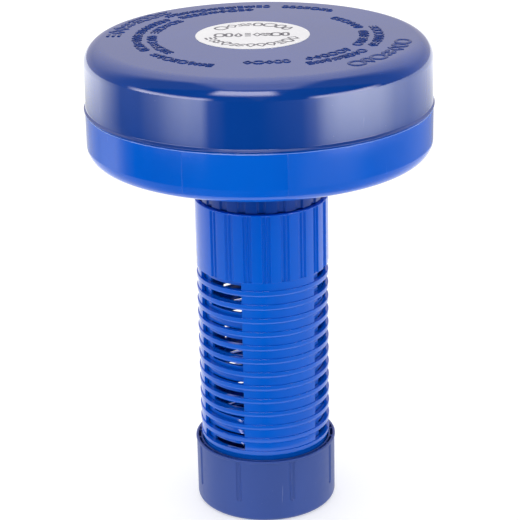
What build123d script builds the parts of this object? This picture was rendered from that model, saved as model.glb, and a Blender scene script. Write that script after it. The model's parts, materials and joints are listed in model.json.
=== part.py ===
from build123d import *
import os
from math import cos, radians, sin

# Floating chlorine dispenser, millimetres.
# +Z is up along the column, and the origin is the centre of the face that the cap stands on.
# Angles run anticlockwise seen from above, from -Y, which is the front of the dispenser.

# Bottom cap
cap_height = 44.8
cap_wall_radius = 47.2
cap_lip_radius = 47.6
cap_lip_height = 2.0
cap_skirt_inner_radius = 45.9
cap_corner_radius = 3.5
cap_floor_thickness = 2.2
cap_underside_recess_radius = 37.0
cap_underside_recess_depth = 0.8
cap_ring_radius = 44.2
cap_ring_bore_radius = 43.0
cap_ring_top = 44.3
cap_rib_count = 24
cap_rib_thickness = 1.4
cap_rib_top = 43.3
cap_groove_count = 8
cap_groove_first_angle = 21.5
cap_groove_radius = 2.3
cap_groove_depth = 0.85
cap_groove_bottom = 13.2

# Cap thread: one start, the same pitch on the cap and on the basket foot
cap_thread_pitch = 5.0
cap_thread_turns = 1.5
cap_thread_root_width = 1.9
cap_thread_crest_width = 1.1
basket_thread_crest_radius = 42.5
cap_thread_crest_radius = 41.4
basket_thread_start = 9.0
thread_root_overlap = 0.4

# Tablet basket
basket_foot = 4.5
basket_foot_radius = 40.9
basket_shoulder_radius = 42.3
basket_shoulder_bottom = 34.7
basket_shoulder_top = 37.5
basket_radius = 40.3
basket_bore_radius = 38.6
basket_ceiling_bottom = 213.0
basket_ceiling_top = 215.4
basket_neck_radius = 32.2
basket_neck_bore_radius = 29.8
basket_flange_radius = 38.0
basket_flange_bottom = 229.0
basket_flange_top = 232.0
basket_slot_pitch = 7.58
basket_slot_height = 3.9
basket_slot_count = 16
basket_slot_first_height = 51.45
basket_slot_angle = 50.0
basket_slot_centre_angle = -32.0
stop_lug_top = 40.4
stop_lug_angle = 8.0
stop_lug_centre_angle = 180.0

# Flow sleeve
sleeve_radius = 43.8
sleeve_panel_radius = 43.1
sleeve_bore_radius = 40.8
sleeve_bottom = 38.0
sleeve_tail_radius = 42.4
sleeve_ring_top = 50.6
sleeve_window_count = 13
sleeve_window_height = 5.4
sleeve_hoop_height = 4.12
sleeve_window_angle = 50.0
sleeve_window_centre_angle = -44.0
sleeve_hoop_blend = 1.4
collar_bottom = 170.2
collar_top = 216.7
collar_radius = 43.9
collar_groove_pitch = 360.0 / 22
collar_groove_first_angle = -45.5
collar_groove_count = 18
collar_groove_width = 5.4
collar_groove_depth = 1.3
collar_bead_width = 1.6
collar_bead_height = 0.9
collar_edge_chamfer = 0.5
window_zones = 3
flow_close_angle = 48.0
flow_open_angle = 12.0
stop_clearance_angle = 0.7

# Neck: coupling nut, gasket and the float's threaded spigot
nut_radius = 41.6
nut_bottom = 217.0
nut_top = 246.0
nut_thread_bore_radius = 39.1
nut_skirt_bore_radius = 38.4
nut_shoulder_bottom = 226.0
nut_shoulder_bore_radius = 32.6
nut_flute_count = 20
nut_flute_width = 5.4
nut_flute_depth = 1.2
neck_gasket_bore_radius = 33.5
neck_gasket_thickness = 2.0
spigot_radius = 37.0
spigot_bore_radius = 33.5
spigot_thread_crest_radius = 38.7
nut_thread_crest_radius = 37.4
neck_thread_pitch = 4.0
neck_thread_turns = 2.0
neck_thread_start = 236.2
neck_thread_root_width = 1.5
neck_thread_crest_width = 0.9

# Float
float_radius = 112.0
float_wall = 2.4
float_bottom = 246.3
float_bottom_corner_radius = 10.2
float_bottom_rise = 2.0
float_bottom_rise_radius = 62.0
float_part_line = 280.3
dome_radius = 111.5
dome_lip_radius = 113.0
dome_lip_top = 281.7
dome_corner_radius = 12.8
dome_edge_height = 322.1
dome_crown_height = 323.4
dome_flat_radius = 41.0
rim_ledge_radius = 107.0
rim_ledge_depth = 4.5
rim_tongue_radius = 108.7
rim_tongue_top = 287.0
seam_gasket_thickness = 1.0
seam_gasket_outer_radius = 111.3
seam_gasket_inner_radius = 109.0
label_radius = 36.4
label_thickness = 0.4
label_centre = (-3.4, -0.8)


def point_at(angle, radius):
    """Return the X and Y of a point at an angle from the front."""
    return (radius * sin(radians(angle)), -radius * cos(radians(angle)))


def sector_points(centre_angle, width_angle, reach):
    """Corners of a wedge from the axis that holds one angular range."""
    half = width_angle / 2
    side = reach / cos(radians(half))
    return [(0, 0), point_at(centre_angle - half, side), point_at(centre_angle + half, side)]


def helical_thread(pitch, turns, start, root_radius, crest_radius, root_width, crest_width):
    """A single-start thread whose flanks run from the root radius to the crest radius."""
    mean_radius = (root_radius + crest_radius) / 2
    half_depth = (crest_radius - root_radius) / 2
    with BuildPart() as thread:
        with BuildLine() as path:
            Helix(pitch=pitch, height=pitch * turns, radius=mean_radius, center=(0, 0, start))
        helix = path.line
        profile_plane = Plane(origin=helix @ 0, x_dir=(1, 0, 0), z_dir=helix % 0)
        with BuildSketch(profile_plane):
            Polygon(
                (-half_depth, -root_width / 2),
                (half_depth, -crest_width / 2),
                (half_depth, crest_width / 2),
                (-half_depth, root_width / 2),
                align=None,
            )
        sweep(path=helix, is_frenet=True)
    return thread.part


# Bottom cap: a gripped skirt and a threaded ring on one floor, bridged by radial ribs
cap_thread_start = basket_thread_start + cap_thread_pitch / 2
with BuildPart() as bottom_cap:
    with BuildSketch(Plane.XZ):
        with BuildLine():
            Polyline(
                (cap_ring_bore_radius, cap_floor_thickness),
                (0, cap_floor_thickness),
                (0, 0),
                (cap_wall_radius - cap_corner_radius, 0),
            )
            RadiusArc(
                (cap_wall_radius - cap_corner_radius, 0),
                (cap_wall_radius, cap_corner_radius),
                -cap_corner_radius,
            )
            Polyline(
                (cap_wall_radius, cap_corner_radius),
                (cap_wall_radius, cap_height - cap_lip_height - 1),
                (cap_lip_radius, cap_height - cap_lip_height),
                (cap_lip_radius, cap_height),
                (cap_skirt_inner_radius, cap_height),
                (cap_skirt_inner_radius, cap_floor_thickness),
                (cap_ring_radius, cap_floor_thickness),
                (cap_ring_radius, cap_ring_top),
                (cap_ring_bore_radius, cap_ring_top),
                (cap_ring_bore_radius, cap_floor_thickness),
            )
        make_face()
    revolve(axis=Axis.Z)
    with BuildSketch(Plane.XY.offset(cap_floor_thickness)):
        with PolarLocations((cap_ring_radius + cap_skirt_inner_radius) / 2, cap_rib_count,
                            start_angle=cap_groove_first_angle - 90):
            Rectangle(cap_skirt_inner_radius - cap_ring_radius + 0.6, cap_rib_thickness)
    extrude(amount=cap_rib_top - cap_floor_thickness)
    groove_axis_radius = cap_wall_radius - cap_groove_depth + cap_groove_radius
    groove_end_plane = Plane.XY.offset(cap_groove_bottom + cap_groove_radius)
    with BuildSketch(groove_end_plane):
        with PolarLocations(groove_axis_radius, cap_groove_count, start_angle=cap_groove_first_angle - 90):
            Circle(cap_groove_radius)
    extrude(amount=cap_height - cap_lip_height - cap_groove_bottom - cap_groove_radius, mode=Mode.SUBTRACT)
    with Locations(groove_end_plane):
        with PolarLocations(groove_axis_radius, cap_groove_count, start_angle=cap_groove_first_angle - 90):
            Sphere(cap_groove_radius, mode=Mode.SUBTRACT)
    Cylinder(cap_underside_recess_radius, 2 * cap_underside_recess_depth, mode=Mode.SUBTRACT)
    add(helical_thread(cap_thread_pitch, cap_thread_turns, cap_thread_start,
                       cap_ring_bore_radius + thread_root_overlap, cap_thread_crest_radius,
                       cap_thread_root_width, cap_thread_crest_width))
bottom_cap.part.label = "bottom_cap"

# Cap gasket: a flat ring on the cap's floor, under the basket's foot
with BuildPart() as cap_gasket:
    with BuildSketch(Plane.XY.offset(cap_floor_thickness + 0.3)):
        Circle(cap_ring_bore_radius - 0.4)
        Circle(basket_bore_radius + 0.2, mode=Mode.SUBTRACT)
    extrude(amount=basket_foot - cap_floor_thickness - 0.6)
cap_gasket.part.label = "cap_gasket"

# Tablet basket: a bottle-shaped tube with three columns of slots and a threaded foot
with BuildPart() as tablet_basket:
    with BuildSketch(Plane.XZ):
        with BuildLine():
            Polyline(
                (basket_bore_radius, basket_foot),
                (basket_foot_radius, basket_foot),
                (basket_foot_radius, basket_shoulder_bottom),
                (basket_shoulder_radius, basket_shoulder_bottom + 1.0),
                (basket_shoulder_radius, basket_shoulder_top),
                (basket_radius, basket_shoulder_top),
                (basket_radius, basket_ceiling_top),
                (basket_neck_radius, basket_ceiling_top),
                (basket_neck_radius, basket_flange_bottom),
                (basket_flange_radius, basket_flange_bottom),
                (basket_flange_radius, basket_flange_top),
                (basket_neck_bore_radius, basket_flange_top),
                (basket_neck_bore_radius, basket_ceiling_bottom),
                (basket_bore_radius, basket_ceiling_bottom),
                close=True,
            )
        make_face()
    revolve(axis=Axis.Z)
    for zone in range(window_zones):
        zone_angle = basket_slot_centre_angle + zone * 360 / window_zones
        for row in range(basket_slot_count):
            slot_bottom = basket_slot_first_height + row * basket_slot_pitch - basket_slot_height / 2
            with BuildSketch(Plane.XY.offset(slot_bottom)):
                Polygon(*sector_points(zone_angle, basket_slot_angle, basket_radius + 1), align=None)
                Circle(basket_bore_radius - 1, mode=Mode.SUBTRACT)
            extrude(amount=basket_slot_height, mode=Mode.SUBTRACT)
    with BuildSketch(Plane.XY.offset(basket_shoulder_top)):
        Circle(basket_shoulder_radius)
        Circle(basket_radius - 0.5, mode=Mode.SUBTRACT)
        Polygon(*sector_points(stop_lug_centre_angle, stop_lug_angle, basket_shoulder_radius + 1),
                align=None, mode=Mode.INTERSECT)
    extrude(amount=stop_lug_top - basket_shoulder_top)
    add(helical_thread(cap_thread_pitch, cap_thread_turns, basket_thread_start,
                       basket_foot_radius - thread_root_overlap, basket_thread_crest_radius,
                       cap_thread_root_width, cap_thread_crest_width))
tablet_basket.part.label = "tablet_basket"

# Flow sleeve: a ribbed collar over three windowed zones, turned to set the flow
hoop_pitch = sleeve_window_height + sleeve_hoop_height
sleeve_tail_top = sleeve_ring_top - sleeve_hoop_height
with BuildPart() as flow_sleeve:
    with BuildSketch(Plane.XZ):
        with BuildLine():
            Polyline(
                (sleeve_bore_radius, sleeve_bottom),
                (sleeve_tail_radius, sleeve_bottom),
                (sleeve_tail_radius, sleeve_tail_top),
                (sleeve_panel_radius, sleeve_tail_top),
                (sleeve_panel_radius, collar_bottom),
                (collar_radius, collar_bottom + 0.4),
                (collar_radius, collar_top - collar_edge_chamfer),
                (collar_radius - collar_edge_chamfer, collar_top),
                (sleeve_bore_radius, collar_top),
                close=True,
            )
        make_face()
    revolve(axis=Axis.Z)
    with BuildSketch(Plane.XZ):
        for hoop in range(sleeve_window_count):
            hoop_top = sleeve_ring_top + hoop * hoop_pitch
            with BuildLine():
                Polyline(
                    (sleeve_panel_radius - 0.3, hoop_top),
                    (sleeve_radius, hoop_top),
                    (sleeve_radius, hoop_top - sleeve_hoop_height + sleeve_hoop_blend),
                    (sleeve_panel_radius, hoop_top - sleeve_hoop_height),
                    (sleeve_panel_radius - 0.3, hoop_top - sleeve_hoop_height),
                    close=True,
                )
            make_face()
    revolve(axis=Axis.Z)
    for zone in range(window_zones):
        zone_angle = sleeve_window_centre_angle + zone * 360 / window_zones
        for row in range(sleeve_window_count):
            window_bottom = sleeve_ring_top + row * hoop_pitch
            with BuildSketch(Plane.XY.offset(window_bottom)):
                Polygon(*sector_points(zone_angle, sleeve_window_angle, sleeve_radius + 1), align=None)
                Circle(sleeve_bore_radius - 1, mode=Mode.SUBTRACT)
            extrude(amount=sleeve_window_height, mode=Mode.SUBTRACT)
    for groove in range(collar_groove_count):
        groove_angle = collar_groove_first_angle + groove * collar_groove_pitch
        groove_centre = point_at(groove_angle, collar_radius)
        with BuildSketch(Plane.XY.offset(collar_bottom - 1)):
            with Locations(Location((groove_centre[0], groove_centre[1], 0), groove_angle)):
                Rectangle(collar_groove_width, 2 * collar_groove_depth)
                with Locations((0, collar_groove_depth - collar_bead_height / 2)):
                    Rectangle(collar_bead_width, collar_bead_height + 0.01, mode=Mode.SUBTRACT)
        extrude(amount=collar_top - collar_bottom + 2, mode=Mode.SUBTRACT)
    notch_angle = flow_close_angle + flow_open_angle + stop_lug_angle + 2 * stop_clearance_angle
    notch_centre = stop_lug_centre_angle + (flow_close_angle - flow_open_angle) / 2
    with BuildSketch(Plane.XY.offset(sleeve_bottom)):
        Polygon(*[(0, 0)] + [point_at(notch_centre - notch_angle / 2 + notch_angle * step / 4, 60)
                             for step in range(5)], align=None)
        Circle(sleeve_bore_radius - 1, mode=Mode.SUBTRACT)
    extrude(amount=stop_lug_top + 0.5 - sleeve_bottom, mode=Mode.SUBTRACT)
flow_sleeve.part.label = "flow_sleeve"

# Neck gasket: a flat ring between the basket's flange and the float's spigot
with BuildPart() as neck_gasket:
    with BuildSketch(Plane.XY.offset(basket_flange_top)):
        Circle(spigot_radius)
        Circle(neck_gasket_bore_radius, mode=Mode.SUBTRACT)
    extrude(amount=neck_gasket_thickness)
neck_gasket.part.label = "neck_gasket"

# Neck coupling nut: a fluted ring that clamps the basket's flange to the spigot
with BuildPart() as neck_coupling_nut:
    with BuildSketch(Plane.XZ):
        with BuildLine():
            Polyline(
                (nut_skirt_bore_radius, nut_bottom),
                (nut_radius, nut_bottom),
                (nut_radius, nut_top - 0.6),
                (nut_radius - 0.6, nut_top),
                (nut_thread_bore_radius, nut_top),
                (nut_thread_bore_radius, basket_flange_bottom),
                (nut_shoulder_bore_radius, basket_flange_bottom),
                (nut_shoulder_bore_radius, nut_shoulder_bottom),
                (nut_skirt_bore_radius, nut_shoulder_bottom),
                close=True,
            )
        make_face()
    revolve(axis=Axis.Z)
    with BuildSketch(Plane.XY.offset(nut_bottom)):
        with PolarLocations(nut_radius, nut_flute_count, start_angle=-90):
            Rectangle(2 * nut_flute_depth, nut_flute_width)
    extrude(amount=nut_top - nut_bottom, mode=Mode.SUBTRACT)
    add(helical_thread(neck_thread_pitch, neck_thread_turns, neck_thread_start - neck_thread_pitch / 2,
                       nut_thread_bore_radius + thread_root_overlap, nut_thread_crest_radius,
                       neck_thread_root_width, neck_thread_crest_width))
neck_coupling_nut.part.label = "neck_coupling_nut"

# Float lower shell: a dish with a closed floor, a threaded spigot and a rim for the top shell
float_floor_centre = float_bottom + float_bottom_rise
with BuildPart() as float_lower_shell:
    with BuildSketch(Plane.XZ):
        with BuildLine():
            Polyline(
                (0, float_floor_centre + float_wall),
                (0, float_floor_centre),
                (spigot_bore_radius, float_floor_centre),
                (spigot_bore_radius, basket_flange_top + neck_gasket_thickness),
                (spigot_radius, basket_flange_top + neck_gasket_thickness),
                (spigot_radius, float_floor_centre),
                (float_bottom_rise_radius, float_floor_centre),
                (float_radius - float_bottom_corner_radius, float_bottom),
            )
            RadiusArc(
                (float_radius - float_bottom_corner_radius, float_bottom),
                (float_radius, float_bottom + float_bottom_corner_radius),
                -float_bottom_corner_radius,
            )
            Polyline(
                (float_radius, float_bottom + float_bottom_corner_radius),
                (float_radius, float_part_line - 0.3),
                (rim_tongue_radius, float_part_line - 0.3),
                (rim_tongue_radius, rim_tongue_top),
                (rim_ledge_radius, rim_tongue_top),
                (rim_ledge_radius, float_part_line - rim_ledge_depth),
                (float_radius - float_wall, float_part_line - rim_ledge_depth - 2.6),
                (float_radius - float_wall, float_bottom + float_bottom_corner_radius),
            )
            RadiusArc(
                (float_radius - float_wall, float_bottom + float_bottom_corner_radius),
                (float_radius - float_bottom_corner_radius, float_bottom + float_wall),
                float_bottom_corner_radius - float_wall,
            )
            Polyline(
                (float_radius - float_bottom_corner_radius, float_bottom + float_wall),
                (float_bottom_rise_radius, float_floor_centre + float_wall),
                (0, float_floor_centre + float_wall),
            )
        make_face()
    revolve(axis=Axis.Z)
    add(helical_thread(neck_thread_pitch, neck_thread_turns, neck_thread_start,
                       spigot_radius - thread_root_overlap, spigot_thread_crest_radius,
                       neck_thread_root_width, neck_thread_crest_width))
float_lower_shell.part.label = "float_lower_shell"

# Seam gasket: a thin ring that makes the joint between the two float shells watertight
with BuildPart() as seam_gasket:
    with BuildSketch(Plane.XY.offset(float_part_line - 0.3)):
        Circle(seam_gasket_outer_radius)
        Circle(seam_gasket_inner_radius, mode=Mode.SUBTRACT)
    extrude(amount=seam_gasket_thickness)
seam_gasket.part.label = "seam_gasket"

# Float top shell: a flat-topped dome with a thin lip over the parting line
dome_seat = float_part_line - 0.3 + seam_gasket_thickness
with BuildPart() as float_top_shell:
    with BuildSketch(Plane.XZ):
        with BuildLine():
            Polyline(
                (dome_radius - float_wall, dome_edge_height - dome_corner_radius),
                (dome_radius - float_wall, dome_seat),
                (seam_gasket_outer_radius + 0.1, dome_seat),
                (seam_gasket_outer_radius + 0.1, float_part_line),
                (dome_lip_radius, float_part_line),
                (dome_lip_radius, dome_lip_top - 0.6),
                (dome_radius, dome_lip_top),
                (dome_radius, dome_edge_height - dome_corner_radius),
            )
            RadiusArc(
                (dome_radius, dome_edge_height - dome_corner_radius),
                (dome_radius - dome_corner_radius, dome_edge_height),
                -dome_corner_radius,
            )
            Polyline(
                (dome_radius - dome_corner_radius, dome_edge_height),
                (dome_flat_radius, dome_crown_height),
                (0, dome_crown_height),
                (0, dome_crown_height - float_wall),
                (dome_flat_radius, dome_crown_height - float_wall),
                (dome_radius - dome_corner_radius, dome_edge_height - float_wall),
            )
            RadiusArc(
                (dome_radius - dome_corner_radius, dome_edge_height - float_wall),
                (dome_radius - float_wall, dome_edge_height - dome_corner_radius),
                dome_corner_radius - float_wall,
            )
        make_face()
    revolve(axis=Axis.Z)
float_top_shell.part.label = "float_top_shell"

# Top label: a round printed disc, stuck a little off centre on the flat middle of the dome
with BuildPart() as top_label:
    with BuildSketch(Plane.XY.offset(dome_crown_height)):
        with Locations(label_centre):
            Circle(label_radius)
    extrude(amount=label_thickness)
top_label.part.label = "top_label"

os.makedirs("parts", exist_ok=True)
pieces = (
    bottom_cap,
    cap_gasket,
    tablet_basket,
    flow_sleeve,
    neck_gasket,
    neck_coupling_nut,
    float_lower_shell,
    seam_gasket,
    float_top_shell,
    top_label,
)
for piece in pieces:
    export_step(piece.part, f"parts/{piece.part.label}.step")
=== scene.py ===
import json
import math
import random

import bmesh
import bpy
from mathutils import Matrix, Vector


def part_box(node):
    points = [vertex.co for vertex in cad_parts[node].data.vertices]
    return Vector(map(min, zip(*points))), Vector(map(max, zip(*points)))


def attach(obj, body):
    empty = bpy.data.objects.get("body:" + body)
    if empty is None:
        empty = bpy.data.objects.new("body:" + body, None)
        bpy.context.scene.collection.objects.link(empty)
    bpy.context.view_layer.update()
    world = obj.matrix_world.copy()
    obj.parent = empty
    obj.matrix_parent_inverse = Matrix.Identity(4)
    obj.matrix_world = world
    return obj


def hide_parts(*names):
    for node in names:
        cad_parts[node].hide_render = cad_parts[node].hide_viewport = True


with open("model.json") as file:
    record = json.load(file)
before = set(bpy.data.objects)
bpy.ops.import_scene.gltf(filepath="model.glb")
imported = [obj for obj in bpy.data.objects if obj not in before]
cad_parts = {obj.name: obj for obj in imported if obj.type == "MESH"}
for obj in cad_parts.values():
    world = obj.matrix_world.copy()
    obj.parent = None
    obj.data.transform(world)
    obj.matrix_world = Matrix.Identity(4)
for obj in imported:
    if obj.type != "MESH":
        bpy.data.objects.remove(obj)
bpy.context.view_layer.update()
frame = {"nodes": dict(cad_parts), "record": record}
nodes = frame["nodes"]

# Lengths below are millimetres unless a name says otherwise; MM turns them into Blender metres.
# Angles are degrees, anticlockwise seen from above, from -Y, which is the front.
MM = 0.001


def span(node):
    """Lowest height, highest height and outer radius of a CAD node, in millimetres."""
    low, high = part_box(node)
    return low[2] / MM, high[2] / MM, high[0] / MM


_, CAP_TOP, CAP_LIP_RADIUS = span("bottom_cap")
SLEEVE_BOTTOM, SLEEVE_TOP, COLLAR_RADIUS = span("flow_sleeve")
NUT_BOTTOM, NUT_TOP, _ = span("neck_coupling_nut")
SPIGOT_BOTTOM, TONGUE_TOP, SHELL_RADIUS = span("float_lower_shell")
DOME_SEAT, DOME_TOP, LIP_RADIUS = span("float_top_shell")
LABEL_BOTTOM, LABEL_TOP, _ = span("top_label")
NUT_RADIUS = 41.6
SPIGOT_DROP = 12.3
FLOAT_BOTTOM = SPIGOT_BOTTOM + SPIGOT_DROP
DOME_SEAT_RISE = 0.7
PART_LINE = DOME_SEAT - DOME_SEAT_RISE


# Shader helpers -------------------------------------------------------------------------

def new_material(name):
    """An empty node material, with its tree and its Principled shader."""
    material = bpy.data.materials.new(name)
    material.use_nodes = True
    tree = material.node_tree
    return material, tree, tree.nodes["Principled BSDF"]


def add_node(tree, kind, **settings):
    node = tree.nodes.new(kind)
    for key, value in settings.items():
        setattr(node, key, value)
    return node


def noise(tree, scale, detail=2.0, roughness=0.5, stretch=(1, 1, 1), distortion=0.0):
    """Noise in object coordinates, with its own stretch along each axis."""
    place = add_node(tree, "ShaderNodeTexCoord")
    mapping = add_node(tree, "ShaderNodeMapping")
    mapping.inputs["Scale"].default_value = stretch
    tree.links.new(place.outputs["Object"], mapping.inputs["Vector"])
    texture = add_node(tree, "ShaderNodeTexNoise")
    texture.inputs["Scale"].default_value = scale
    texture.inputs["Detail"].default_value = detail
    texture.inputs["Roughness"].default_value = roughness
    texture.inputs["Distortion"].default_value = distortion
    tree.links.new(mapping.outputs["Vector"], texture.inputs["Vector"])
    return texture.outputs["Fac"]


def remap(tree, value, low, high, to_low, to_high, smooth=False):
    node = add_node(tree, "ShaderNodeMapRange")
    if smooth:
        node.interpolation_type = "SMOOTHSTEP"
    node.inputs["From Min"].default_value = low
    node.inputs["From Max"].default_value = high
    node.inputs["To Min"].default_value = to_low
    node.inputs["To Max"].default_value = to_high
    tree.links.new(value, node.inputs["Value"])
    return node.outputs["Result"]


def maths(tree, operation, first, second=None):
    """A Math node on two sockets or numbers."""
    node = add_node(tree, "ShaderNodeMath", operation=operation)
    for socket, value in zip(node.inputs, (first, second)):
        if isinstance(value, (int, float)):
            socket.default_value = value
        elif value is not None:
            tree.links.new(value, socket)
    return node.outputs["Value"]


def blend_colours(tree, factor, first, second):
    """Mix two colours, each a constant or a socket."""
    node = add_node(tree, "ShaderNodeMix", data_type="RGBA")
    for name, value in (("A", first), ("B", second)):
        socket = [s for s in node.inputs if s.name == name and s.type == "RGBA"][0]
        if isinstance(value, tuple):
            socket.default_value = (*value, 1)
        else:
            tree.links.new(value, socket)
    tree.links.new(factor, node.inputs["Factor"])
    return [s for s in node.outputs if s.type == "RGBA"][0]


def moulded_plastic(name, colour, shade, pale, roughness, scuff=0.06, ripple=0.00003):
    """Moulded plastic: faint flow mottling, uneven gloss, sink ripples and fine pale scratches."""
    material, tree, shader = new_material(name)
    flow = noise(tree, 22, detail=3, stretch=(1, 1, 0.35))
    mottled = blend_colours(tree, remap(tree, flow, 0.35, 0.65, 0, 1), colour, shade)
    specks = noise(tree, 900, detail=1)
    dusty = blend_colours(tree, remap(tree, specks, 0.79, 0.83, 0, 0.35), mottled, pale)
    scratch_lines = noise(tree, 70, detail=2, stretch=(9, 9, 0.6), distortion=0.4)
    scratch_patches = noise(tree, 14, detail=1)
    scratches = maths(
        tree, "MULTIPLY",
        remap(tree, scratch_lines, 0.70, 0.74, 0, 1),
        remap(tree, scratch_patches, 0.58, 0.68, 0, 0.4),
    )
    tree.links.new(blend_colours(tree, scratches, dusty, pale), shader.inputs["Base Color"])
    wear = noise(tree, 140, detail=5, roughness=0.7)
    tree.links.new(remap(tree, wear, 0.3, 0.75, roughness, roughness + scuff), shader.inputs["Roughness"])
    bump = add_node(tree, "ShaderNodeBump")
    bump.inputs["Strength"].default_value = 0.3
    bump.inputs["Distance"].default_value = ripple
    tree.links.new(noise(tree, 45, detail=2, roughness=0.4), bump.inputs["Height"])
    tree.links.new(bump.outputs["Normal"], shader.inputs["Normal"])
    shader.inputs["IOR"].default_value = 1.5
    return material


NAVY, NAVY_SHADE, NAVY_PALE = (0.0015, 0.046, 0.285), (0.001, 0.041, 0.255), (0.20, 0.26, 0.50)
BLUE, BLUE_SHADE, BLUE_PALE = (0.0, 0.112, 0.625), (0.0, 0.100, 0.58), (0.16, 0.32, 0.85)

navy_gloss = moulded_plastic("navy_gloss", NAVY, NAVY_SHADE, NAVY_PALE, 0.055, scuff=0.03)
blue_gloss = moulded_plastic("blue_gloss", BLUE, BLUE_SHADE, BLUE_PALE, 0.06, scuff=0.03)
navy_satin = moulded_plastic("navy_satin", NAVY, NAVY_SHADE, NAVY_PALE, 0.40, scuff=0.1, ripple=0.00006)
label_vinyl = moulded_plastic("label_vinyl", (0.86, 0.86, 0.87), (0.80, 0.80, 0.82), (0.7, 0.7, 0.72), 0.38)
gasket_rubber = moulded_plastic(
    "gasket_rubber", (0.02, 0.02, 0.022), (0.03, 0.03, 0.032), (0.1, 0.1, 0.1), 0.6)
label_ink = moulded_plastic("label_ink", (0.13, 0.13, 0.15), (0.09, 0.09, 0.11), (0.5, 0.5, 0.5), 0.45)
# white here is a painted highlight: it stands in for the glint along the edges of a raised mark on the
# collar
painted_glint_white = moulded_plastic("painted_glint_white", (0.85, 0.86, 0.88), (0.78, 0.80, 0.83), (0.6, 0.65, 0.8), 0.45)
# paler blue: partly the thin flash's own tone, partly a painted highlight along the lower shell's top edge
flash_blue_painted_highlight = moulded_plastic("flash_blue_painted_highlight", (0.36, 0.52, 0.95), (0.10, 0.28, 0.85), (0.7, 0.8, 1.0), 0.30)

mark_navy = moulded_plastic("mark_navy", (0.001, 0.034, 0.22), (0.001, 0.028, 0.19), NAVY_PALE, 0.22)
mark_navy.node_tree.nodes["Principled BSDF"].inputs["IOR"].default_value = 1.22

slot_materials = {
    "navy_gloss": navy_gloss,
    "blue_gloss": blue_gloss,
    "navy_satin": navy_satin,
    "label_vinyl": label_vinyl,
    "gasket_rubber": gasket_rubber,
}
for part in frame["record"]["subparts"]:
    node = nodes[part["node"]]
    node.data.materials.clear()
    node.data.materials.append(slot_materials[part["material_slot"]])


# Mesh helpers -----------------------------------------------------------------------------

def place(angle, radius, height):
    """A point at an angle from the front, in metres."""
    turn = math.radians(angle)
    return Vector((radius * math.sin(turn), -radius * math.cos(turn), height)) * MM


def finish_piece(name, bm, body, material, sharp_angle=38):
    """Turn a bmesh into a piece that rides on a body, smooth except at its sharp edges."""
    bmesh.ops.recalc_face_normals(bm, faces=bm.faces)
    mesh = bpy.data.meshes.new(name)
    bm.to_mesh(mesh)
    bm.free()
    mesh.polygons.foreach_set("use_smooth", [True] * len(mesh.polygons))
    mesh.set_sharp_from_angle(angle=math.radians(sharp_angle))
    mesh.materials.append(material)
    piece = bpy.data.objects.new(name, mesh)
    bpy.context.scene.collection.objects.link(piece)
    flat = piece.modifiers.new("flat_walls", "WEIGHTED_NORMAL")
    flat.keep_sharp = True
    flat.weight = 80
    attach(piece, body)
    return piece


LARGE_FILLET = 5


def rounded(corners, steps=5):
    """Points of a closed profile of (radius, height, fillet) corners, with each fillet as an arc."""
    points = []
    for index, (radius, height, fillet) in enumerate(corners):
        here = Vector((radius, height))
        if not fillet:
            points.append((radius, height))
            continue
        before = (Vector(corners[index - 1][:2]) - here).normalized()
        after = (Vector(corners[(index + 1) % len(corners)][:2]) - here).normalized()
        half = before.angle(after) / 2
        centre = here + (before + after).normalized() * fillet / math.sin(half)
        start = here + before * fillet / math.tan(half) - centre
        end = here + after * fillet / math.tan(half) - centre
        count = steps if fillet < LARGE_FILLET else 4 * steps
        for step in range(count + 1):
            spoke = start.lerp(end, step / count).normalized() * fillet
            points.append(tuple(centre + spoke))
    return points


def even_angles(count):
    return [index * 360 / count for index in range(count)]


def turn(bm, profile, angles, shape=None):
    """Revolve a closed (radius, height) profile; shape may move each point's radius at each angle."""
    rings = []
    for radius, height in profile:
        if radius < 1e-6:
            rings.append([bm.verts.new(place(0, 0, height))])
            continue
        ring = [shape(angle, radius, height) if shape else radius for angle in angles]
        rings.append([bm.verts.new(place(angle, reach, height)) for angle, reach in zip(angles, ring)])
    for ring, other in zip(rings, rings[1:] + rings[:1]):
        for index in range(len(angles)):
            following = (index + 1) % len(angles)
            if len(ring) == 1 and len(other) == 1:
                continue
            if len(ring) == 1:
                bm.faces.new((ring[0], other[following], other[index]))
            elif len(other) == 1:
                bm.faces.new((ring[index], ring[following], other[0]))
            else:
                bm.faces.new((ring[index], ring[following], other[following], other[index]))


def wrap(angle):
    """An angle brought to -180..180."""
    return (angle + 180) % 360 - 180


def smooth_step(low, high, value):
    t = min(max((value - low) / (high - low), 0), 1)
    return t * t * (3 - 2 * t)


def angles_around(centres, offsets, coarse_step):
    """Angles that are close together around each centre and spaced evenly between the centres."""
    dense = sorted({round((centre + offset) % 360, 4) for centre in centres for offset in offsets})
    result = []
    for index, angle in enumerate(dense):
        following = dense[(index + 1) % len(dense)]
        gap = (following - angle) % 360
        pieces = max(1, math.ceil(gap / coarse_step))
        result += [(angle + gap * step / pieces) % 360 for step in range(pieces)]
    return sorted(result)


# Float ------------------------------------------------------------------------------------

DOME_RADIUS = LIP_RADIUS - 1.5
DOME_CORNER = 12.8
DOME_EDGE = DOME_TOP - 1.3
CROWN_RADIUS = 41.0
WALL = 2.4


def dome_height(x, y):
    """Height of the dome's top face at a place inside its corner."""
    radius = math.hypot(x, y)
    if radius <= CROWN_RADIUS:
        return DOME_TOP
    slope = (DOME_TOP - DOME_EDGE) / (DOME_RADIUS - DOME_CORNER - CROWN_RADIUS)
    return DOME_TOP - slope * (radius - CROWN_RADIUS)


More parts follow.
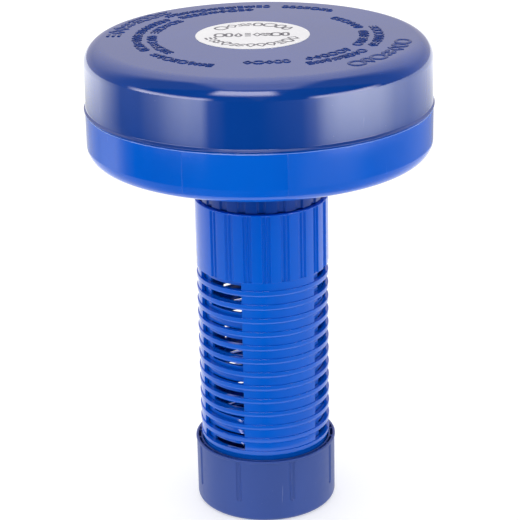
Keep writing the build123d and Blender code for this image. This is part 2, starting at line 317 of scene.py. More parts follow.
def make_dome():
    """The navy top shell, with its flared lip over the parting line."""
    inner = DOME_RADIUS - WALL
    edge = DOME_RADIUS - DOME_CORNER
    profile = rounded([
        (0, DOME_TOP, 0),
        (CROWN_RADIUS, DOME_TOP, 30),
        (edge, DOME_EDGE, 0),
        (DOME_RADIUS, DOME_EDGE, DOME_CORNER),
        (DOME_RADIUS, PART_LINE + 1.7, 1.0),
        (LIP_RADIUS - 0.3, PART_LINE + 0.55, 0.25),
        (LIP_RADIUS - 0.3, PART_LINE, 0.2),
        (DOME_RADIUS - 0.1, PART_LINE, 0),
        (DOME_RADIUS - 0.1, DOME_SEAT, 0),
        (inner, DOME_SEAT, 0),
        (inner, DOME_EDGE - WALL, DOME_CORNER - WALL),
        (CROWN_RADIUS, DOME_TOP - WALL, 0),
        (0, DOME_TOP - WALL, 0),
    ], steps=6)
    bm = bmesh.new()
    turn(bm, profile, even_angles(256))
    piece = finish_piece("dome_shell", bm, "float_and_basket", navy_gloss)
    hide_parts("float_top_shell")


SEAM_ANGLES = (-24.8, 8.3, 155.2, 188.3)
SEAM_WIDTH = 0.35
SEAM_HEIGHT = 0.22


def shell_radius(angle, radius, height):
    """The lower shell's outer radius, with a thin ridge at each mould line."""
    if radius < SHELL_RADIUS - 1.2 or height > PART_LINE - 1:
        return radius
    nearest = min(abs(wrap(angle - seam)) for seam in SEAM_ANGLES)
    across = math.radians(nearest) * radius
    return radius + SEAM_HEIGHT * (1 - smooth_step(0, SEAM_WIDTH, across))


def make_lower_shell():
    """The blue dish, with its tongue under the dome and its threaded spigot in the nut."""
    spigot, bore, corner = 37.0, 33.5, 10.2
    dent_height, dent_radius = 2.0, 62.0
    tongue_outer, tongue_inner = 108.7, 107.0
    floor = FLOAT_BOTTOM + dent_height
    profile = rounded([
        (0, floor, 0),
        (bore, floor, 0.4),
        (bore, SPIGOT_BOTTOM, 0.3),
        (spigot, SPIGOT_BOTTOM, 0.3),
        (spigot, floor, 0.4),
        (dent_radius, floor, 20),
        (SHELL_RADIUS - corner, FLOAT_BOTTOM, 0),
        (SHELL_RADIUS, FLOAT_BOTTOM, corner),
        (SHELL_RADIUS, PART_LINE - 0.3, 0.8),
        (tongue_outer, PART_LINE - 0.3, 0),
        (tongue_outer, TONGUE_TOP, 0.3),
        (tongue_inner, TONGUE_TOP, 0.3),
        (tongue_inner, PART_LINE - 4.5, 0),
        (SHELL_RADIUS - WALL, PART_LINE - 7.1, 0),
        (SHELL_RADIUS - WALL, FLOAT_BOTTOM + WALL, corner - WALL),
        (dent_radius, floor + WALL, 0),
        (0, floor + WALL, 0),
    ], steps=6)
    ridge = math.degrees(SEAM_WIDTH / SHELL_RADIUS)
    angles = angles_around(SEAM_ANGLES, [ridge * step / 2 for step in range(-2, 3)], 1.5)
    bm = bmesh.new()
    turn(bm, profile, angles, shell_radius)
    add_spigot_thread(bm)
    piece = finish_piece("lower_shell", bm, "float_and_basket", blue_gloss)
    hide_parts("float_lower_shell")


def add_thread(bm, pitch, turns, start, root, crest, root_width, crest_width):
    """A right-handed thread of trapezoid section, tapered away at both ends."""
    steps = int(turns * 72)
    rows = []
    for step in range(steps + 1):
        angle = step * 5
        height = start + pitch * angle / 360
        fade = min(1, step / 6, (steps - step) / 6)
        reach = root + (crest - root) * max(fade, 0.02)
        section = (
            (root, -root_width / 2),
            (reach, -crest_width / 2),
            (reach, crest_width / 2),
            (root, root_width / 2),
        )
        rows.append([bm.verts.new(place(angle + 90, radius, height + offset)) for radius, offset in section])
    for row, following in zip(rows, rows[1:]):
        for index in range(4):
            after = (index + 1) % 4
            bm.faces.new((row[index], row[after], following[after], following[index]))
    bm.faces.new(rows[0])
    bm.faces.new(reversed(rows[-1]))


def add_spigot_thread(bm):
    add_thread(bm, 4.0, 2.0, SPIGOT_BOTTOM + 2.2, 36.6, 38.7, 1.5, 0.9)


def make_flash_line():
    """The thin ragged line of flash that stands out from the shell just under the dome's lip; its paler blue
    is partly the thin flash's own tone and partly a painted highlight of the edge catching light.
    """
    chance = random.Random(11)
    angles = even_angles(480)
    raw = [chance.random() for _ in angles]
    ragged = {}
    for index, angle in enumerate(angles):
        ragged[round(angle, 3)] = 0.14 + 0.6 * (raw[index] * raw[index - 1]) ** 1.5
    top = PART_LINE - 0.75

    def reach(angle, radius, _):
        return radius if radius < SHELL_RADIUS else radius + ragged[round(angle, 3)]

    profile = [
        (SHELL_RADIUS - 0.6, top - 0.5), (SHELL_RADIUS, top - 0.55),
        (SHELL_RADIUS + 0.02, top - 0.3), (SHELL_RADIUS - 0.6, top - 0.12),
    ]
    bm = bmesh.new()
    turn(bm, profile, angles, reach)
    finish_piece("parting_flash", bm, "float_and_basket", flash_blue_painted_highlight)


# Flow sleeve --------------------------------------------------------------------------------

BORE = 40.8
PANEL_RADIUS = COLLAR_RADIUS - 0.8
HOOP_RADIUS = COLLAR_RADIUS - 0.1
COLLAR_BOTTOM = SLEEVE_TOP - 46.5
HOOP_HEIGHT = 4.12
WINDOW_HEIGHT = 5.4
HOOP_PITCH = HOOP_HEIGHT + WINDOW_HEIGHT
WINDOW_ROWS = 13
FIRST_HOOP_TOP = SLEEVE_BOTTOM + 12.6
WINDOW_CENTRES = (-44.0, 76.0, 196.0)
WINDOW_HALF_ANGLE = 25.0
EDGE_ROUND = 0.22

GROOVE_PITCH = 360 / 22
GROOVE_CENTRES = [-45.5 + index * GROOVE_PITCH for index in range(18)]
GROOVE_HALF_WIDTH = 2.7
GROOVE_DEPTH = 1.3
BEAD_HALF_WIDTH = 0.85
BEAD_HEIGHT = 0.9


def groove_depth(angle):
    """How far a collar groove, with the bead along its middle, cuts in at an angle."""
    nearest = min(abs(wrap(angle - centre)) for centre in GROOVE_CENTRES)
    across = math.radians(nearest) * COLLAR_RADIUS
    wall = 1 - smooth_step(GROOVE_HALF_WIDTH - 0.7, GROOVE_HALF_WIDTH + 0.35, across)
    bead = 0.5 + 0.5 * math.cos(math.pi * min(across / BEAD_HALF_WIDTH, 1))
    return GROOVE_DEPTH * wall - BEAD_HEIGHT * bead


def edge_drop(distance):
    """How far a rounded edge falls away at a distance inside the edge."""
    if distance >= EDGE_ROUND:
        return 0.0
    return EDGE_ROUND - math.sqrt(EDGE_ROUND ** 2 - (EDGE_ROUND - distance) ** 2)


def make_sleeve():
    """The flow sleeve: a ribbed collar above a cage of hoops with three columns of windows."""
    bm = bmesh.new()
    add_collar(bm)
    add_cage(bm)
    piece = finish_piece("sleeve_shell", bm, "flow_sleeve", blue_gloss, sharp_angle=50)
    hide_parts("flow_sleeve")


def add_collar(bm):
    across = [0, 0.25, 0.5, 0.72, 0.95, 1.5, 1.95, 2.2, 2.45, 2.7, 2.9, 3.1]
    offsets = [math.degrees(sign * value / COLLAR_RADIUS) for value in across for sign in (1, -1)]
    angles = angles_around(GROOVE_CENTRES, offsets, 2.5)
    profile = rounded([
        (COLLAR_RADIUS, SLEEVE_TOP, 0.5),
        (BORE, SLEEVE_TOP, 0.3),
        (BORE, COLLAR_BOTTOM, 0),
        (COLLAR_RADIUS, COLLAR_BOTTOM, 0.4),
        (COLLAR_RADIUS, SLEEVE_TOP - 1.6, 0),
        (COLLAR_RADIUS, SLEEVE_TOP - 1.05, 0),
    ], steps=3)

    def radius_at(angle, radius, height):
        if radius < COLLAR_RADIUS - 1:
            return radius
        return radius - groove_depth(angle) * smooth_step(0.5, 1.6, SLEEVE_TOP - height)

    turn(bm, profile, angles, radius_at)


def cage_angles():
    """Angles of the cage's grid, close together beside each window's ends."""
    insets = (0, 0.04, 0.1, EDGE_ROUND)
    sides = [math.degrees(value / HOOP_RADIUS) for value in insets]
    ends = []
    for centre in WINDOW_CENTRES:
        ends += [centre + WINDOW_HALF_ANGLE + side for side in sides]
        ends += [centre - WINDOW_HALF_ANGLE - side for side in sides]
    return angles_around(ends, [0], 2.6)


def cage_heights():
    """Heights of the cage's grid, each with the radius that a hoop or the panel has there."""
    rows = [(SLEEVE_BOTTOM, 42.4), (FIRST_HOOP_TOP - HOOP_HEIGHT - 0.05, 42.4)]
    for row in range(WINDOW_ROWS):
        top = FIRST_HOOP_TOP + row * HOOP_PITCH
        bottom = top - HOOP_HEIGHT
        rows += [
            (bottom, PANEL_RADIUS - edge_drop(0)),
            (bottom + 0.12, PANEL_RADIUS - edge_drop(0.12)),
            (bottom + 0.45, PANEL_RADIUS + 0.1),
            (bottom + 0.9, PANEL_RADIUS + 0.42),
            (bottom + 1.4, HOOP_RADIUS - 0.03),
            (bottom + 2.2, HOOP_RADIUS),
            (top - EDGE_ROUND, HOOP_RADIUS),
            (top - 0.1, HOOP_RADIUS - edge_drop(0.1)),
            (top - 0.03, HOOP_RADIUS - edge_drop(0.03)),
            (top, HOOP_RADIUS - EDGE_ROUND),
            (top + 0.03, PANEL_RADIUS),
            (top + WINDOW_HEIGHT * 0.5, PANEL_RADIUS),
        ]
    rows.append((COLLAR_BOTTOM + 0.3, PANEL_RADIUS))
    return rows


def is_window(angle, height):
    """Whether a place in the cage is inside a window."""
    if not any(abs(wrap(angle - centre)) < WINDOW_HALF_ANGLE for centre in WINDOW_CENTRES):
        return False
    row, above = divmod(height - FIRST_HOOP_TOP, HOOP_PITCH)
    return 0 <= row < WINDOW_ROWS and above < WINDOW_HEIGHT


def add_cage(bm):
    """A grid of outer and inner faces, left out in the windows and walled along their edges."""
    angles, rows = cage_angles(), cage_heights()
    corners = {}

    def corner(column, row, outside):
        key = (column % len(angles), row, outside)
        if key not in corners:
            height, radius = rows[row]
            angle = angles[key[0]]
            if outside:
                past = min(abs(wrap(angle - centre)) - WINDOW_HALF_ANGLE for centre in WINDOW_CENTRES)
                across = math.radians(past) * HOOP_RADIUS
                if across >= -0.01 and radius == PANEL_RADIUS and height > FIRST_HOOP_TOP:
                    radius -= edge_drop(max(across, 0))
            corners[key] = bm.verts.new(place(angle, radius if outside else BORE, height))
        return corners[key]

    def filled(column, row):
        if row < 0 or row >= len(rows) - 1:
            return False
        here = angles[column % len(angles)]
        middle = here + ((angles[(column + 1) % len(angles)] - here) % 360) / 2
        return not is_window(middle, (rows[row][0] + rows[row + 1][0]) / 2)

    for column in range(len(angles)):
        for row in range(len(rows) - 1):
            if not filled(column, row):
                continue
            for outside in (True, False):
                bm.faces.new((corner(column, row, outside), corner(column + 1, row, outside),
                              corner(column + 1, row + 1, outside), corner(column, row + 1, outside)))
            for near, (from_step, to_step) in (
                ((column - 1, row), ((0, 0), (0, 1))),
                ((column + 1, row), ((1, 1), (1, 0))),
                ((column, row - 1), ((1, 0), (0, 0))),
                ((column, row + 1), ((0, 1), (1, 1))),
            ):
                if filled(*near):
                    continue
                start = (column + from_step[0], row + from_step[1])
                end = (column + to_step[0], row + to_step[1])
                bm.faces.new((corner(*start, True), corner(*end, True),
                              corner(*end, False), corner(*start, False)))


def make_flow_mark():
    """A plain white pointer on the smooth part of the collar, with a graded bar beside it; their white is a
    painted highlight standing in for the glint along a raised mark.
    """
    bm = bmesh.new()
    middle, low, high = -83.0, COLLAR_BOTTOM + 1.8, COLLAR_BOTTOM + 10.8
    outer, inner = COLLAR_RADIUS + 0.05, COLLAR_RADIUS - 0.3

    def patch(start, end, lower, upper, steps=8):
        columns = []
        for step in range(steps + 1):
            t = step / steps
            angle = middle + math.degrees((start + (end - start) * t) / COLLAR_RADIUS)
            columns.append([bm.verts.new(place(angle, radius, height)) for radius, height in (
                (inner, lower(t)), (outer, lower(t)), (outer, upper(t)), (inner, upper(t)))])
        for column, following in zip(columns, columns[1:]):
            for index in range(4):
                after = (index + 1) % 4
                bm.faces.new((column[index], column[after], following[after], following[index]))
        bm.faces.new(columns[0])
        bm.faces.new(reversed(columns[-1]))

    centre = (low + high) / 2
    patch(-3.6, 4.6, lambda t: centre - 0.3 - 4.2 * math.sin(math.pi * t) ** 0.7,
          lambda t: centre + 0.3 + 4.2 * math.sin(math.pi * t) ** 0.7, steps=16)
    for index in range(6):
        start = -9.5 - 3.4 * index
        half = 0.8 + 0.55 * index
        patch(start, start + 1.8, lambda t, h=half: centre - h, lambda t, h=half: centre + h, 2)
    finish_piece("flow_mark", bm, "flow_sleeve", painted_glint_white)


# Neck nut -------------------------------------------------------------------------------------

FLUTES = 20
FLUTE_HALF_WIDTH = 2.7
FLUTE_DEPTH = 1.2


def make_nut():
    """The fluted coupling nut, with its inner thread."""
    centres = [index * 360 / FLUTES for index in range(FLUTES)]
    across = [0, 0.7, 1.4, 1.9, 2.2, 2.5, 2.8, 3.0]
    offsets = [math.degrees(sign * value / NUT_RADIUS) for value in across for sign in (1, -1)]

    def radius_at(angle, radius, _):
        if radius < NUT_RADIUS - 1:
            return radius
        nearest = min(abs(wrap(angle - centre)) for centre in centres)
        distance = math.radians(nearest) * NUT_RADIUS
        wall = 1 - smooth_step(FLUTE_HALF_WIDTH - 1.0, FLUTE_HALF_WIDTH + 0.3, distance)
        return radius - FLUTE_DEPTH * wall

    flange = NUT_BOTTOM + 12.0
    flange_bottom = flange - 3
    skirt_bore, flange_bore, thread_bore = 38.4, 32.6, 39.1
    profile = rounded([
        (skirt_bore, NUT_BOTTOM, 0.2),
        (NUT_RADIUS, NUT_BOTTOM, 0.4),
        (NUT_RADIUS, NUT_TOP, 0.6),
        (thread_bore, NUT_TOP, 0.3),
        (thread_bore, flange, 0),
        (flange_bore, flange, 0.2),
        (flange_bore, flange_bottom, 0.2),
        (skirt_bore, flange_bottom, 0),
    ], steps=4)
    bm = bmesh.new()
    turn(bm, profile, angles_around(centres, offsets, 3), radius_at)
    add_thread(bm, 4.0, 2.0, SPIGOT_BOTTOM + 0.2, 39.5, 37.4, 1.5, 0.9)
    piece = finish_piece("neck_nut", bm, "float_and_basket", navy_gloss)
    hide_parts("neck_coupling_nut")


# Bottom cap ---------------------------------------------------------------------------------

CAP_WALL_RADIUS = CAP_LIP_RADIUS - 0.4
CAP_SKIRT_INNER = 45.9
CAP_RING_RADIUS = 44.2
CAP_RING_BORE = 43.0
CAP_LIP_HEIGHT = 2.0
CAP_FLOOR = 2.2
CAP_RECESS_RADIUS, CAP_RECESS = 37.0, 0.8
GRIP_CENTRES = [21.5 + index * 45 for index in range(8)]
GRIP_RADIUS = 2.3
GRIP_DEPTH = 1.0
GRIP_BOTTOM = 13.2
CAP_RIBS = 24


def grip_depth(angle, height):
    """How far a grip groove cuts into the cap's skirt."""
    top = CAP_TOP - CAP_LIP_HEIGHT
    if height > top:
        return 0.0
    nearest = min(abs(wrap(angle - centre)) for centre in GRIP_CENTRES)
    across = math.radians(nearest) * CAP_WALL_RADIUS
    below = max(GRIP_BOTTOM + GRIP_RADIUS - height, 0)
    reach = math.hypot(across, below)
    if reach >= GRIP_RADIUS:
        return 0.0
    floor = GRIP_DEPTH - GRIP_RADIUS + math.sqrt(GRIP_RADIUS ** 2 - reach ** 2)
    return max(floor, 0.0) * smooth_step(0, 0.5, top - height)


def make_cap():
    """The bottom cap: a gripped skirt and a threaded ring on one floor, with ribs between them."""
    across = [0, 0.3, 0.6, 0.9, 1.2, 1.4, 1.6, 1.75, 1.9, 2.1]
    offsets = [math.degrees(sign * value / CAP_WALL_RADIUS) for value in across for sign in (1, -1)]
    angles = angles_around(GRIP_CENTRES, offsets, 2.0)
    grip_top = CAP_TOP - CAP_LIP_HEIGHT
    wall_heights = [GRIP_BOTTOM - 1 + step * 0.35 for step in range(11)]
    wall_heights += [22, 28, 34, 39, grip_top - 0.5, grip_top - 0.3, grip_top - 0.12, grip_top - 0.01]
    outline = rounded([
        (0, CAP_RECESS, 0),
        (CAP_RECESS_RADIUS, CAP_RECESS, 0),
        (CAP_RECESS_RADIUS, 0, 0.3),
        (CAP_WALL_RADIUS, 0, 3.5),
        (CAP_WALL_RADIUS, 9, 0),
    ], steps=8)
    outline += [(CAP_WALL_RADIUS, height) for height in wall_heights]
    outline += rounded([
        (CAP_WALL_RADIUS, grip_top, 0),
        (CAP_LIP_RADIUS, grip_top + 0.4, 0.2),
        (CAP_LIP_RADIUS, CAP_TOP, 0.55),
        (CAP_SKIRT_INNER, CAP_TOP, 0.4),
        (CAP_SKIRT_INNER, CAP_FLOOR, 0.5),
        (CAP_RING_RADIUS, CAP_FLOOR, 0.5),
        (CAP_RING_RADIUS, CAP_TOP - 0.5, 0.35),
        (CAP_RING_BORE, CAP_TOP - 0.5, 0.35),
        (CAP_RING_BORE, CAP_FLOOR, 0.5),
        (0, CAP_FLOOR, 0),
    ], steps=4)

    def radius_at(angle, radius, height):
        return radius - grip_depth(angle, height) if radius == CAP_WALL_RADIUS else radius

    bm = bmesh.new()
    turn(bm, outline, angles, radius_at)
    add_thread(bm, 5.0, 1.5, 11.5, 43.4, 41.4, 1.9, 1.1)
    piece = finish_piece("cap_shell", bm, "bottom_cap", navy_satin)
    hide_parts("bottom_cap")
    make_cap_ribs()


def make_cap_ribs():
    """The radial ribs between the cap's two walls."""
    bm = bmesh.new()
    for index in range(CAP_RIBS):
        centre = GRIP_CENTRES[0] + index * 360 / CAP_RIBS
        half = math.degrees(0.7 / CAP_RING_RADIUS)
        low, high = 2.0, CAP_TOP - 0.7
        inner, outer = CAP_RING_RADIUS - 0.3, CAP_SKIRT_INNER + 0.3
        corners = [bm.verts.new(place(centre + side * half, radius, height))
                   for height in (low, high) for side in (-1, 1) for radius in (inner, outer)]
        for face in ((0, 1, 3, 2), (4, 5, 7, 6), (0, 1, 5, 4), (2, 3, 7, 6), (0, 2, 6, 4), (1, 3, 7, 5)):
            bm.faces.new([corners[i] for i in face])
    bmesh.ops.bevel(bm, geom=list(bm.edges), offset=0.2 * MM, segments=2, affect="EDGES", profile=0.6)
    finish_piece("cap_ribs", bm, "bottom_cap", navy_satin)


# Raised and printed marks ------------------------------------------------------------------
# Blank shapes stand where the real dispenser has moulded and printed lettering.

def pill(width):
    """An upright ring with straight sides."""
    points = []
    half, corner = width / 2, min(width, 1) * 0.42
    side, level = half - corner, 0.5 - corner
    for centre_x, centre_y, first in (
        (side, level, 0), (-side, level, 90), (-side, -level, 180), (side, -level, 270),
    ):
        for step in range(4):
            bend = math.radians(first + 30 * step)
            points.append((centre_x + corner * math.cos(bend), centre_y + corner * math.sin(bend)))
    return [(points, True)]


def wave():
    """Two wavy lines, one over the other."""
    line = [(x / 10 - 0.6, 0.13 * math.sin(x * math.pi / 3)) for x in range(13)]
    return [([(x, y + shift) for x, y in line], False) for shift in (-0.25, 0.25)]


def diamond():
    return [([(0, 0.5), (0.42, 0), (0, -0.5), (-0.42, 0)], True)]


def bars():
    """Three short level bars."""
    return [([(-0.35, level), (0.35, level)], False) for level in (-0.4, 0, 0.4)]


def drop():
    """A water drop."""
    round_part = [(0.34 * math.cos(math.radians(a)), -0.16 + 0.34 * math.sin(math.radians(a)))
                  for a in range(30, -211, -30)]
    return [(round_part + [(0, 0.5)], True)]


SHAPES = (
    (pill(0.7), 0.7), (pill(1.1), 1.1), (wave(), 1.2),
    (diamond(), 0.84), (bars(), 0.7), (drop(), 0.7),
)


def add_stroke(bm, points, closed, width, section, surface):
    """Sweep a low section along a line that lies on a surface: points and width in millimetres."""
    rows = []
    count = len(points)
    for index, point in enumerate(points):
        before = points[index - 1] if closed or index else point
        after = points[(index + 1) % count] if closed or index < count - 1 else point
        along = (Vector(after) - Vector(before)).normalized()
        side = Vector((-along.y, along.x))
        row = []
        for across, rise in section:
            x, y = Vector(point) + side * across * width / 2
            row.append(bm.verts.new(Vector((x, y, surface(x, y) + rise)) * MM))
        rows.append(row)
    pairs = list(zip(rows, rows[1:] + rows[:1])) if closed else list(zip(rows, rows[1:]))
    for row, following in pairs:
        for index in range(len(section)):
            after = (index + 1) % len(section)
            bm.faces.new((row[index], row[after], following[after], following[index]))
    if not closed:
        bm.faces.new(rows[0])
        bm.faces.new(reversed(rows[-1]))


def add_arc_of_marks(bm, chance, centre, radius, start, end, size, width, section, surface, shapes=SHAPES):
    """Set shapes side by side along an arc, each upright across the arc."""
    angle = start
    while True:
        strokes, breadth = chance.choice(shapes)
        half = math.degrees((breadth / 2 + 0.10) * size / radius)
        if angle + 2 * half > end:
            return
        angle += half
        turn_angle = math.radians(angle)
        outward = Vector((math.sin(turn_angle), -math.cos(turn_angle)))
        sideways = Vector((math.cos(turn_angle), math.sin(turn_angle)))
        origin = Vector(centre) + outward * radius
        for points, closed in strokes:
            line = [tuple(origin + sideways * x * size + outward * y * size) for x, y in points]
            add_stroke(bm, line, closed, width, section, surface)
        angle += half


def bead_section(rise, depth):
    """A half-round section sunk a little below the surface."""
    return [(-1, -depth), (-0.92, rise * 0.35), (-0.55, rise * 0.85), (0, rise),
            (0.55, rise * 0.85), (0.92, rise * 0.35), (1, -depth)]


# Each row: radius, start angle, end angle, height of the marks
DOME_ROWS = (
    (93.0, -141.0, -90.0, 9.0), (93.0, 36.0, 86.0, 9.0),
    (77.0, -131.0, -62.0, 5.6), (77.0, -58.0, -15.0, 5.6),
    (77.0, 22.0, 62.0, 5.6), (77.0, 66.0, 108.0, 5.6),
    (84.0, 143.0, 171.0, 5.6), (84.0, 174.0, 228.0, 5.6),
    (67.5, -132.0, -98.0, 5.6), (67.5, -94.0, -50.0, 5.6),
    (67.5, -8.0, 20.0, 5.6), (67.5, 25.0, 60.0, 5.6),
    (67.5, 64.0, 100.0, 5.6), (67.5, 104.0, 134.0, 5.6),
    (74.0, 182.0, 224.0, 5.6),
)


def make_dome_marks():
    """Raised rings of blank marks on the dome, in place of its moulded lettering."""
    chance = random.Random(23)
    section = bead_section(0.5, 0.3)
    bm = bmesh.new()
    for radius, start, end, size in DOME_ROWS:
        stroke = 1.3 if size < 6 else 2.3
        add_arc_of_marks(bm, chance, (0, 0), radius, start, end, size, stroke, section, dome_height)
    finish_piece("dome_marks", bm, "float_and_basket", mark_navy)


def make_label():
    """The white disc on the dome, with its grey print."""
    low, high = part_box("top_label")
    centre = ((low[0] + high[0]) / 2 / MM, (low[1] + high[1]) / 2 / MM)
    radius = (high[0] - low[0]) / 2 / MM
    face = LABEL_TOP - 0.06
    bm = bmesh.new()
    profile = rounded([
        (0, LABEL_BOTTOM, 0), (radius, LABEL_BOTTOM, 0), (radius, face, 0.12), (0, face, 0)], steps=3)
    turn(bm, profile, even_angles(160))
    bmesh.ops.translate(bm, verts=bm.verts, vec=Vector((*centre, 0)) * MM)
    piece = finish_piece("label_disc", bm, "float_and_basket", label_vinyl)
    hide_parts("top_label")

    chance = random.Random(5)
    section = [(-1, -0.03), (-1, 0.05), (1, 0.05), (1, -0.03)]
    bm = bmesh.new()

    def level(_x, _y):
        return face

    for start, end in ((-80, 78), (118, 242)):
        add_arc_of_marks(bm, chance, centre, 27.6, start, end, 7.4, 1.5, section, level)
    for index in range(8):
        x = centre[0] - 21.0 + index * 6.0
        strokes, _ = SHAPES[(index * 5 + 1) % len(SHAPES)]
        for points, closed in strokes:
            line = [(x + px * 5.4, centre[1] + py * 8.2) for px, py in points]
            add_stroke(bm, line, closed, 1.6, section, level)
    finish_piece("label_print", bm, "float_and_basket", label_ink)


make_dome()
make_dome_marks()
make_label()
make_lower_shell()
make_flash_line()
make_sleeve()
make_flow_mark()
make_nut()
make_cap()


# Stage, light and camera -----------------------------------------------------------------

def stage_object(name, bm, material, glossy_only=False):
    """A floor or a card; a glossy-only one is seen in reflections and by nothing else."""
    mesh = bpy.data.meshes.new(name)
    bm.to_mesh(mesh)
    bm.free()
    mesh.materials.append(material)
    obj = bpy.data.objects.new(name, mesh)
    bpy.context.scene.collection.objects.link(obj)
    if glossy_only:
        obj.visible_camera = False
        obj.visible_diffuse = False
        obj.visible_transmission = False
        obj.visible_volume_scatter = False
        obj.visible_shadow = False
    return obj


def ramp(tree, value, low, high, stops):
    """A grey ramp over low..high; stops are (position, level) with levels from 0 to 1."""
    node = add_node(tree, "ShaderNodeValToRGB")
    elements = node.color_ramp.elements
    places = [(position - low) / (high - low) for position, _ in stops]
    elements[0].position, elements[1].position = places[0], places[-1]
    for position in places[1:-1]:
        elements.new(position)
    for element, (_, level) in zip(elements, stops):
        element.color = (level, level, level, 1)
    tree.links.new(remap(tree, value, low, high, 0, 1), node.inputs["Fac"])
    return node.outputs["Color"]


def emission(name):
    """An emission material, its tree, and the object's X, Y and Z sockets."""
    material = bpy.data.materials.new(name)
    material.use_nodes = True
    tree = material.node_tree
    tree.nodes.clear()
    output = add_node(tree, "ShaderNodeOutputMaterial")
    shader = add_node(tree, "ShaderNodeEmission")
    tree.links.new(shader.outputs["Emission"], output.inputs["Surface"])
    place_node = add_node(tree, "ShaderNodeTexCoord")
    split = add_node(tree, "ShaderNodeSeparateXYZ")
    tree.links.new(place_node.outputs["Object"], split.inputs["Vector"])
    return material, tree, shader, split.outputs


def azimuth_and_reach(tree, split):
    """Degrees from the front and distance from the axis, for a point of a stage object."""
    x, y = split["X"], split["Y"]
    forward = maths(tree, "MULTIPLY", y, -1)
    azimuth = maths(tree, "MULTIPLY", maths(tree, "ARCTAN2", x, forward), 180 / math.pi)
    squares = maths(tree, "ADD", maths(tree, "MULTIPLY", x, x), maths(tree, "MULTIPLY", y, y))
    reach = maths(tree, "SQRT", squares)
    return azimuth, reach


def light_table():
    """The floor as reflections see it: dark in front of the dispenser, with a light panel at each side."""
    full = 10.0
    material, tree, shader, split = emission("light_table")
    azimuth, reach = azimuth_and_reach(tree, split)
    near = ramp(tree, azimuth, -180, 180, [
        (-180, 0.15), (-115, 0.125), (-75, 0.055), (-40, 0.022), (0, 0.0),
        (40, 0.03), (75, 0.06), (115, 0.13)])
    shell_zone = ramp(tree, azimuth, -180, 180, [
        (-180, 0.09), (-125, 0.06), (-103, 0.13), (-92, 0.03), (-84, 0.0), (15, 0.0),
        (30, 0.04), (55, 0.05), (70, 0.01), (115, 0.05), (180, 0.05)])
    left_panel = ramp(tree, azimuth, -180, 0, [
        (-180, 0.17), (-159, 0.16), (-140, 0.24), (-123, 0.30), (-110, 0.20), (-97, 0.045), (-80, 0.06),
        (-66, 0.20), (-56, 0.42), (-46, 0.56), (-36, 0.50), (-31, 0.08), (-20, 0.0)])
    right_panel = ramp(tree, azimuth, 0, 180, [
        (0, 0.0), (26, 0.05), (34, 0.22), (42, 0.75), (50, 1.0), (64, 1.0), (80, 0.80), (95, 0.40),
        (110, 0.24), (180, 0.16)])
    left = maths(tree, "MULTIPLY", left_panel, remap(tree, reach, 1.0, 1.20, 0.45, 0.95))
    right = maths(tree, "MULTIPLY", right_panel, remap(tree, reach, 1.0, 1.20, 0.44, 0.84))
    on_right = maths(tree, "GREATER_THAN", azimuth, 0)
    to_shell = remap(tree, reach, 0.72, 0.80, 0, 1, smooth=True)
    to_panels = remap(tree, reach, 1.0, 1.02, 0, 1, smooth=True)
    to_open = remap(tree, reach, 0.155, 0.175, 0, 1, smooth=True)

    def step_between(first, second, factor):
        difference = maths(tree, "SUBTRACT", second, first)
        return maths(tree, "ADD", first, maths(tree, "MULTIPLY", difference, factor))

    level = step_between(near, shell_zone, to_shell)
    level = step_between(level, step_between(left, right, on_right), to_panels)
    level = step_between(0.12, level, to_open)
    tree.links.new(maths(tree, "MULTIPLY", level, full), shader.inputs["Strength"])
    bm = bmesh.new()
    bmesh.ops.create_circle(bm, cap_ends=True, cap_tris=True, segments=96, radius=6.0)
    bmesh.ops.translate(bm, verts=bm.verts, vec=(0, 0, 0.0015))
    stage_object("light_table", bm, material, glossy_only=True)


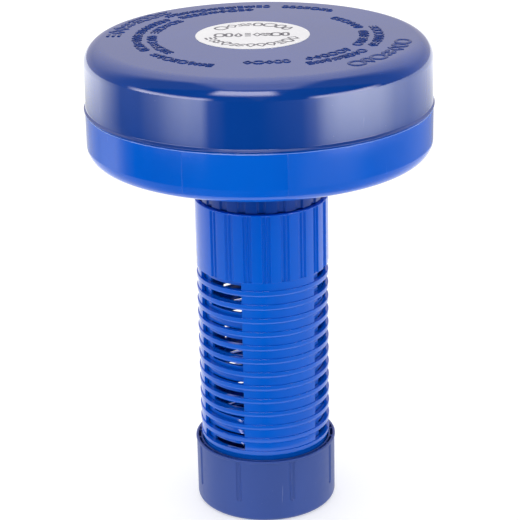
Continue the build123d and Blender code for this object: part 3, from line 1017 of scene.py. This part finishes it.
def studio_room():
    """The room as reflections see it: a light overhead, a strip in front, dark ahead and pale behind."""
    radius = 6.0
    material, tree, shader, split = emission("studio_room")
    azimuth, _ = azimuth_and_reach(tree, split)
    sine = maths(tree, "DIVIDE", split["Z"], radius)
    elevation = maths(tree, "MULTIPLY", maths(tree, "ARCSINE", sine), 180 / math.pi)
    height = maths(tree, "MAXIMUM", split["Z"], 0.01)
    sideways = maths(tree, "DIVIDE", maths(tree, "ABSOLUTE", split["X"]), height)
    forwards = maths(tree, "DIVIDE", maths(tree, "MULTIPLY", split["Y"], -1), height)
    overhead = maths(tree, "MULTIPLY", remap(tree, sideways, 0.24, 0.46, 2.0, 0.3, smooth=True),
                     remap(tree, forwards, 0.50, 0.75, 1, 0.12, smooth=True))
    behind = remap(tree, maths(tree, "ABSOLUTE", azimuth), 95, 130, 0, 1, smooth=True)
    back_level = remap(tree, elevation, 14, 62, 0.80, 2.4)
    strip_up = maths(tree, "MULTIPLY", remap(tree, elevation, 22, 38, 0, 1, smooth=True),
                     remap(tree, elevation, 48, 54, 1, 0, smooth=True))
    strip_across = maths(tree, "MULTIPLY", remap(tree, azimuth, -36, -28, 0, 1, smooth=True),
                         remap(tree, azimuth, 6, 16, 1, 0, smooth=True))
    strip = maths(tree, "MULTIPLY", maths(tree, "MULTIPLY", strip_up, strip_across), 9.0)
    band_left = maths(tree, "MULTIPLY", remap(tree, azimuth, -92, -80, 0, 1),
                      remap(tree, azimuth, -36, -28, 1, 0))
    band_right = maths(tree, "MULTIPLY", remap(tree, azimuth, 30, 38, 0, 1),
                       remap(tree, azimuth, 74, 84, 1, 0))
    bands = maths(tree, "MULTIPLY", maths(tree, "ADD", band_left, band_right),
                  remap(tree, elevation, 6, 13, 9, 0))
    front = maths(tree, "ADD", maths(tree, "ADD", overhead, strip), bands)
    difference = maths(tree, "SUBTRACT", back_level, front)
    level = maths(tree, "ADD", front, maths(tree, "MULTIPLY", difference, behind))
    tree.links.new(level, shader.inputs["Strength"])
    shader.inputs["Color"].default_value = (1.0, 0.94, 0.98, 1)
    bm = bmesh.new()
    bmesh.ops.create_uvsphere(bm, u_segments=64, v_segments=32, radius=radius)
    below = [vertex for vertex in bm.verts if vertex.co.z < -0.6]
    bmesh.ops.delete(bm, geom=below, context="VERTS")
    stage_object("studio_room", bm, material, glossy_only=True)


def pale_floor():
    material, tree, shader = new_material("floor")
    shader.inputs["Base Color"].default_value = (0.62, 0.62, 0.62, 1)
    shader.inputs["Roughness"].default_value = 0.7
    shader.inputs["Emission Color"].default_value = (1, 1, 1, 1)
    shader.inputs["Emission Strength"].default_value = 0.46
    bm = bmesh.new()
    bmesh.ops.create_grid(bm, x_segments=1, y_segments=1, size=8)
    stage_object("floor", bm, material)


def white_world():
    world = bpy.data.worlds.new("studio")
    bpy.context.scene.world = world
    world.use_nodes = True
    background = world.node_tree.nodes["Background"]
    background.inputs["Color"].default_value = (1, 1, 1, 1)
    background.inputs["Strength"].default_value = 1.0


def make_camera():
    """A long lens a little over a metre away, looking down at about 20 degrees."""
    data = bpy.data.cameras.new("camera")
    data.sensor_width = 36
    data.lens = 131.4
    camera = bpy.data.objects.new("camera", data)
    bpy.context.scene.collection.objects.link(camera)
    pitch, yaw, roll = math.radians(20.5), math.radians(-0.074), math.radians(-1.145)
    camera.matrix_world = (
        Matrix.Translation((0, -1.181, 0.612))
        @ Matrix.Rotation(-yaw, 4, "Z")
        @ Matrix.Rotation(math.pi / 2 - pitch, 4, "X")
        @ Matrix.Rotation(roll, 4, "Z")
    )
    bpy.context.scene.camera = camera


pale_floor()
light_table()
studio_room()
white_world()
make_camera()
bpy.context.scene.view_settings.view_transform = "Standard"
